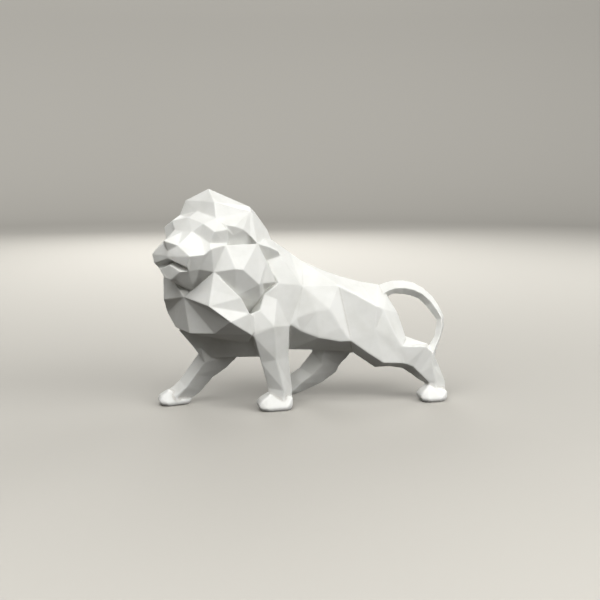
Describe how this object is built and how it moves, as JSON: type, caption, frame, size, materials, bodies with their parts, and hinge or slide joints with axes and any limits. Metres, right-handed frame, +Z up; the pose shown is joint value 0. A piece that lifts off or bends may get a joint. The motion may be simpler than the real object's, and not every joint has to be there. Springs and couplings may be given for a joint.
{
  "type": "geometric lion sculpture",
  "caption": "Faceted walking lion figure cast in one piece, head turned to its left, tail arching down onto the hind leg; it stands on its paws.",
  "frame": {"origin": "centre of the bounding box, on the ground plane that the paws stand on", "axes": "+Z up, the body runs along X with the head at -X and the tail at +X, the lion's left side faces -Y"},
  "size_m": [0.3002, 0.111, 0.219],
  "materials": {
    "white_casting": "cast resin, white, satin matte with softened edges"
  },
  "bodies": {
    "root": {"lion": "white_casting"}
  },
  "joints": []
}
